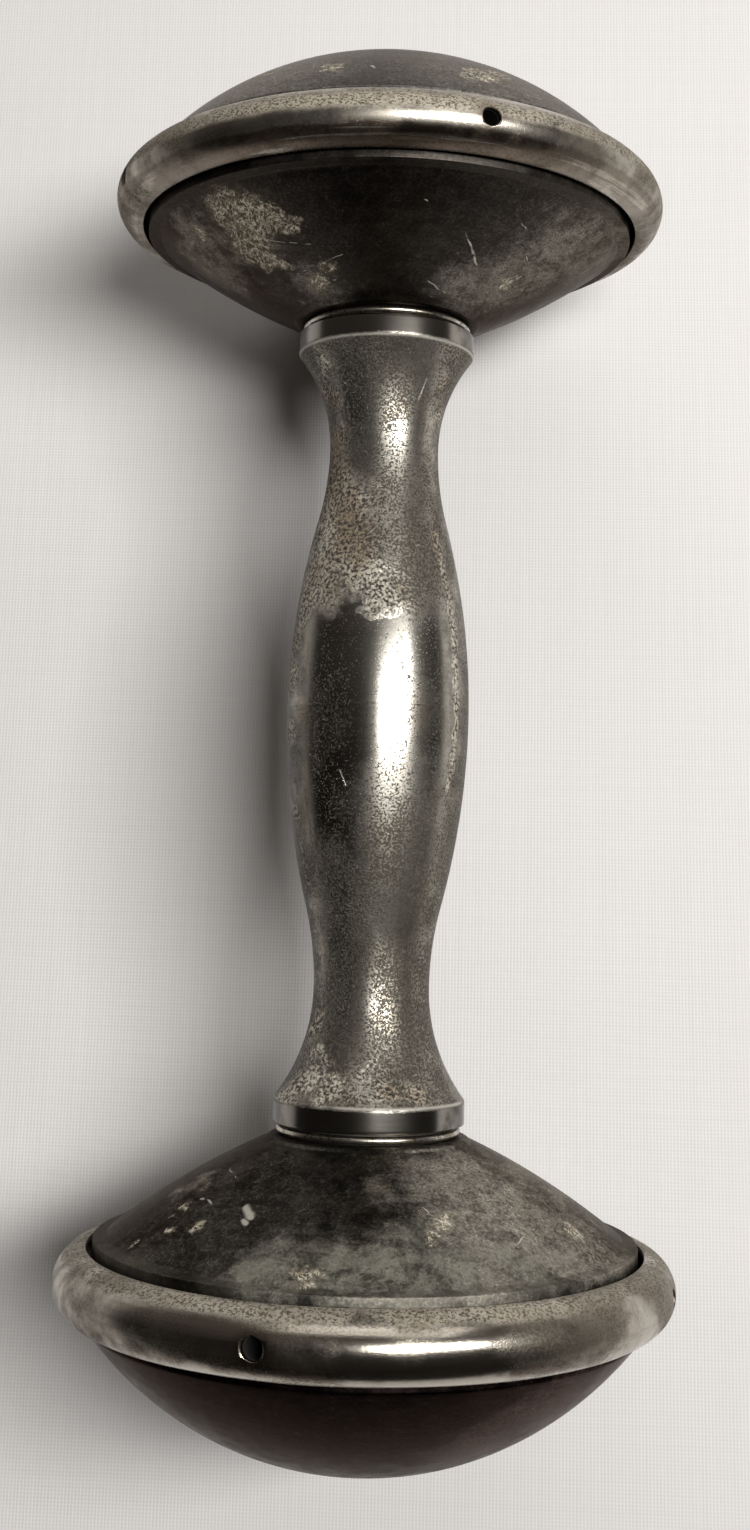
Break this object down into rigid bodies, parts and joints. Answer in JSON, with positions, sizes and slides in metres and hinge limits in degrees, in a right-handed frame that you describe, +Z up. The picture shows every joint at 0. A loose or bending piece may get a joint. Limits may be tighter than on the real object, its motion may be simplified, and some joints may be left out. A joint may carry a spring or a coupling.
{
  "type": "bell dumb-bell",
  "caption": "Hollow metal exercise dumb-bell whose heads are paired gongs in a ring, with strikers hinged inside that ring them when it is shaken.",
  "frame": {"origin": "on the surface the dumb-bell lies on, under its middle", "axes": "+Y along the dumb-bell towards head a, +Z up, +X across"},
  "size_m": [0.082, 0.1956, 0.082],
  "materials": {
    "ring_nickel": "polished nickel plate, tarnished and worn in patches",
    "grip_nickel": "worn satin nickel with dark pitting and a corroded patch",
    "plug_nickel": "turned and nickel-plated, dark in its groove",
    "gong_metal": "dark grey-brown patina with fine scratches and pale worn spots",
    "turned_brass": "turned, dulled",
    "washer_leather": "pressed, dark",
    "plain_steel": "plain, oiled"
  },
  "bodies": {
    "frame": {"belly_sleeve": "plain_steel", "end_plug_a": "plug_nickel", "end_plug_b": "plug_nickel", "end_screw_a": "plain_steel", "end_screw_b": "plain_steel", "grip_shell_a": "grip_nickel", "grip_shell_b": "grip_nickel", "inner_gong_a": "gong_metal", "inner_gong_b": "gong_metal", "inner_seat_washer_a": "washer_leather", "inner_seat_washer_b": "washer_leather", "inner_spacer_a": "turned_brass", "inner_spacer_b": "turned_brass", "outer_gong_a": "gong_metal", "outer_gong_b": "gong_metal", "outer_seat_washer_a": "washer_leather", "outer_seat_washer_b": "washer_leather", "outer_spacer_a": "turned_brass", "outer_spacer_b": "turned_brass", "rim_ring_a": "ring_nickel", "rim_ring_b": "ring_nickel", "ring_spokes_a": "plain_steel", "ring_spokes_b": "plain_steel", "spider_hub_a": "turned_brass", "spider_hub_b": "turned_brass", "striker_pin_a_1": "plain_steel", "striker_pin_a_2": "plain_steel", "striker_pin_b_1": "plain_steel", "striker_pin_b_2": "plain_steel", "tie_rod": "plain_steel"},
    "striker_a_1": {"striker_arm_a_1": "plain_steel", "striker_ball_a_1": "turned_brass"},
    "striker_a_2": {"striker_arm_a_2": "plain_steel", "striker_ball_a_2": "turned_brass"},
    "striker_b_1": {"striker_arm_b_1": "plain_steel", "striker_ball_b_1": "turned_brass"},
    "striker_b_2": {"striker_arm_b_2": "plain_steel", "striker_ball_b_2": "turned_brass"}
  },
  "joints": [
    {"name": "striker_a_1_swing", "type": "hinge", "parent": "frame", "child": "striker_a_1", "pos_m": [0.00831, 0.0747, 0.04444], "axis": [-0.3827, 0, 0.9239], "range_deg": [-17, 34]},
    {"name": "striker_a_2_swing", "type": "hinge", "parent": "frame", "child": "striker_a_2", "pos_m": [-0.00831, 0.0747, 0.03756], "axis": [0.3827, 0, -0.9239], "range_deg": [-17, 34]},
    {"name": "striker_b_1_swing", "type": "hinge", "parent": "frame", "child": "striker_b_1", "pos_m": [-0.00759, -0.0747, 0.04584], "axis": [0.5373, 0, 0.8434], "range_deg": [-17, 34]},
    {"name": "striker_b_2_swing", "type": "hinge", "parent": "frame", "child": "striker_b_2", "pos_m": [0.00759, -0.0747, 0.03616], "axis": [-0.5373, 0, -0.8434], "range_deg": [-17, 34]}
  ]
}
